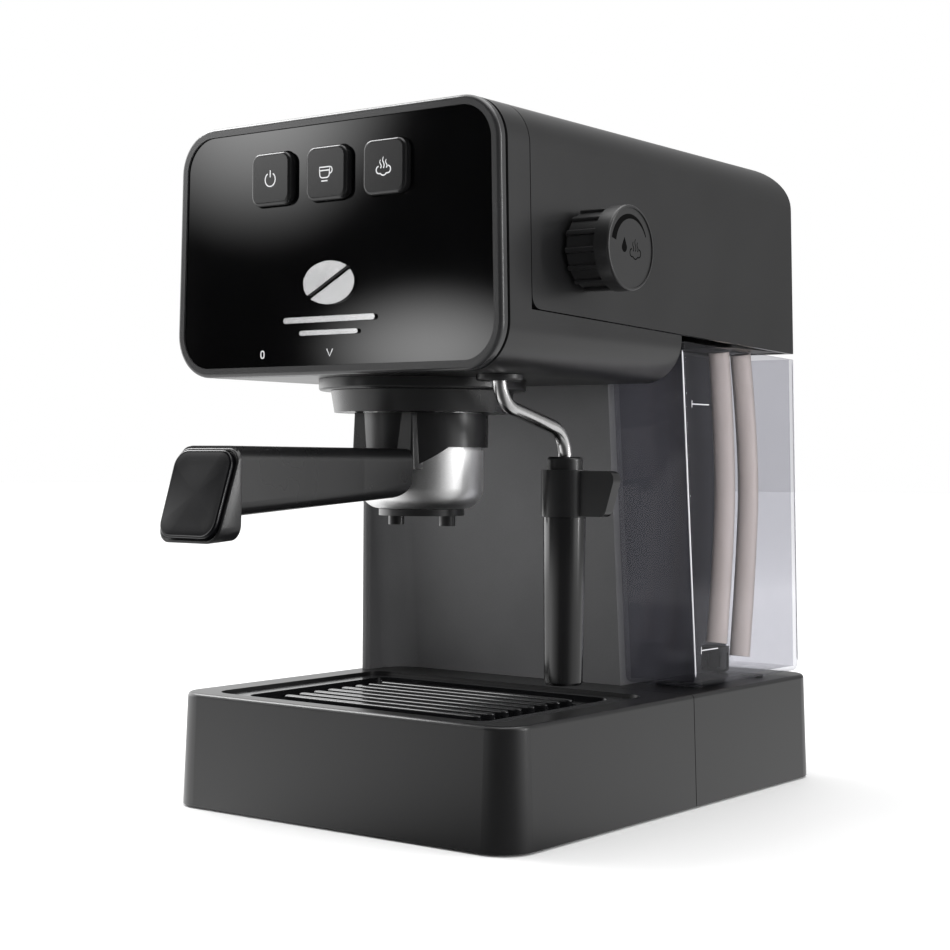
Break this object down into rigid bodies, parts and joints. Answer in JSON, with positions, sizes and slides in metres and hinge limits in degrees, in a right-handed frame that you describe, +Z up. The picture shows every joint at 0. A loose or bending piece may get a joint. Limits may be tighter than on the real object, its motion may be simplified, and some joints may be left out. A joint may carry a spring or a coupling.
{
  "type": "espresso machine",
  "caption": "Compact pump espresso machine with push buttons, a bayonet portafilter, a swinging steam wand, a removable water tank and a sliding drip tray.",
  "frame": {"origin": "centre of the whole footprint, handle and knob included, on the worktop", "axes": "+Z up, -Y towards the user, +X to the user's right, where the knob and the water tank are"},
  "size_m": [0.2054, 0.342, 0.297],
  "materials": {
    "housing_charcoal": "satin moulded charcoal plastic with a fine spark texture",
    "housing_black": "matt black moulded plastic",
    "column_charcoal": "satin dark splash wall",
    "bezel_grey": "satin dark grey bezel",
    "panel_gloss": "piano black gloss panel",
    "badge_silver": "bright raised emblem",
    "button_black": "semi-gloss black",
    "knob_black": "satin black",
    "grid_black": "gloss black",
    "group_grey": "satin dark grey",
    "handle_black": "satin black",
    "cap_gloss": "gloss black end cap",
    "bowl_alloy": "satin cast aluminium",
    "alloy": "raw die cast aluminium",
    "steel_bright": "bright steel",
    "brass": "plain brass",
    "pipe_chrome": "polished stainless pipe",
    "sleeve_gloss": "gloss black sleeve",
    "spout_black": "satin black",
    "tank_clear": "clear smoky plastic",
    "hose_silicone": "translucent silicone",
    "hose_white": "white tube",
    "rubber_black": "soft black rubber",
    "board_green": "printed board"
  },
  "bodies": {
    "housing": {"base_plate": "housing_black", "feet": "rubber_black", "rear_base": "housing_charcoal", "tank_pads": "rubber_black", "column_shell": "column_charcoal", "rear_cover": "housing_black", "power_inlet": "rubber_black", "housing_screws": "steel_bright", "front_housing": "housing_charcoal", "top_cover": "housing_charcoal", "bezel_frame": "bezel_grey", "front_panel": "panel_gloss", "badge": "badge_silver", "switch_board": "board_green", "micro_switches": "housing_black", "steam_valve": "brass", "group_flange": "group_grey", "group_ring": "group_grey", "group_bolts": "steel_bright", "group_gasket": "rubber_black", "shower_screen": "steel_bright", "shower_screw": "steel_bright", "thermoblock": "alloy", "heating_element": "steel_bright", "thermostats": "brass", "wand_socket": "knob_black", "hose_plate": "housing_black", "pump_cradle": "steel_bright", "pump_mounts": "rubber_black", "pump_body": "brass", "pump_coil": "housing_black", "pressure_valve": "brass", "brew_pipe": "hose_white", "inlet_pipe": "hose_white", "relief_pipe": "hose_white", "steam_line": "steel_bright", "control_board": "board_green"},
    "power_button": {"button_power": "button_black"},
    "coffee_button": {"button_coffee": "button_black"},
    "steam_button": {"button_steam": "button_black"},
    "knob": {"steam_knob": "knob_black", "knob_spindle": "steel_bright"},
    "portafilter": {"portafilter_body": "bowl_alloy", "portafilter_handle": "handle_black", "handle_cap": "cap_gloss", "handle_bolt": "steel_bright", "filter_basket": "steel_bright", "basket_spring": "steel_bright", "spout_block": "spout_black"},
    "steam_wand": {"steam_pipe": "pipe_chrome", "pipe_collar": "handle_black", "wand_grip": "handle_black", "frother_sleeve": "sleeve_gloss", "frother_nozzle": "spout_black"},
    "tray": {"drip_tray": "housing_charcoal"},
    "grid": {"drip_grid": "grid_black"},
    "tank": {"water_tank": "tank_clear", "suction_hose": "hose_silicone", "return_hose": "hose_silicone", "intake_strainer": "spout_black"}
  },
  "joints": [
    {"name": "power_press", "type": "slide", "parent": "housing", "child": "power_button", "axis": [0, 1, 0], "range_m": [0, 0.002], "stiffness_N_per_m": 300, "springref_m": -0.002},
    {"name": "coffee_press", "type": "slide", "parent": "housing", "child": "coffee_button", "axis": [0, 1, 0], "range_m": [0, 0.002], "stiffness_N_per_m": 300, "springref_m": -0.002},
    {"name": "steam_press", "type": "slide", "parent": "housing", "child": "steam_button", "axis": [0, 1, 0], "range_m": [0, 0.002], "stiffness_N_per_m": 300, "springref_m": -0.002},
    {"name": "knob_turn", "type": "hinge", "parent": "housing", "child": "knob", "pos_m": [0.09115, -0.0323, 0.2397], "axis": [1, 0, 0], "range_deg": [0, 180]},
    {"name": "handle_lock", "type": "hinge", "parent": "housing", "child": "portafilter", "pos_m": [-0.00885, -0.0263, 0.17], "axis": [0, 0, 1], "range_deg": [-32, 0]},
    {"name": "wand_swing", "type": "hinge", "parent": "housing", "child": "steam_wand", "pos_m": [0.05315, -0.0538, 0.18], "axis": [0, 0, 1], "range_deg": [-75, 0]},
    {"name": "tray_slide", "type": "slide", "parent": "housing", "child": "tray", "axis": [0, -1, 0], "range_m": [0, 0.13]},
    {"name": "grid_lift", "type": "slide", "parent": "tray", "child": "grid", "axis": [0, 0, 1], "range_m": [0, 0.008]},
    {"name": "tank_slide", "type": "slide", "parent": "housing", "child": "tank", "axis": [1, 0, 0], "range_m": [0, 0.06]}
  ]
}
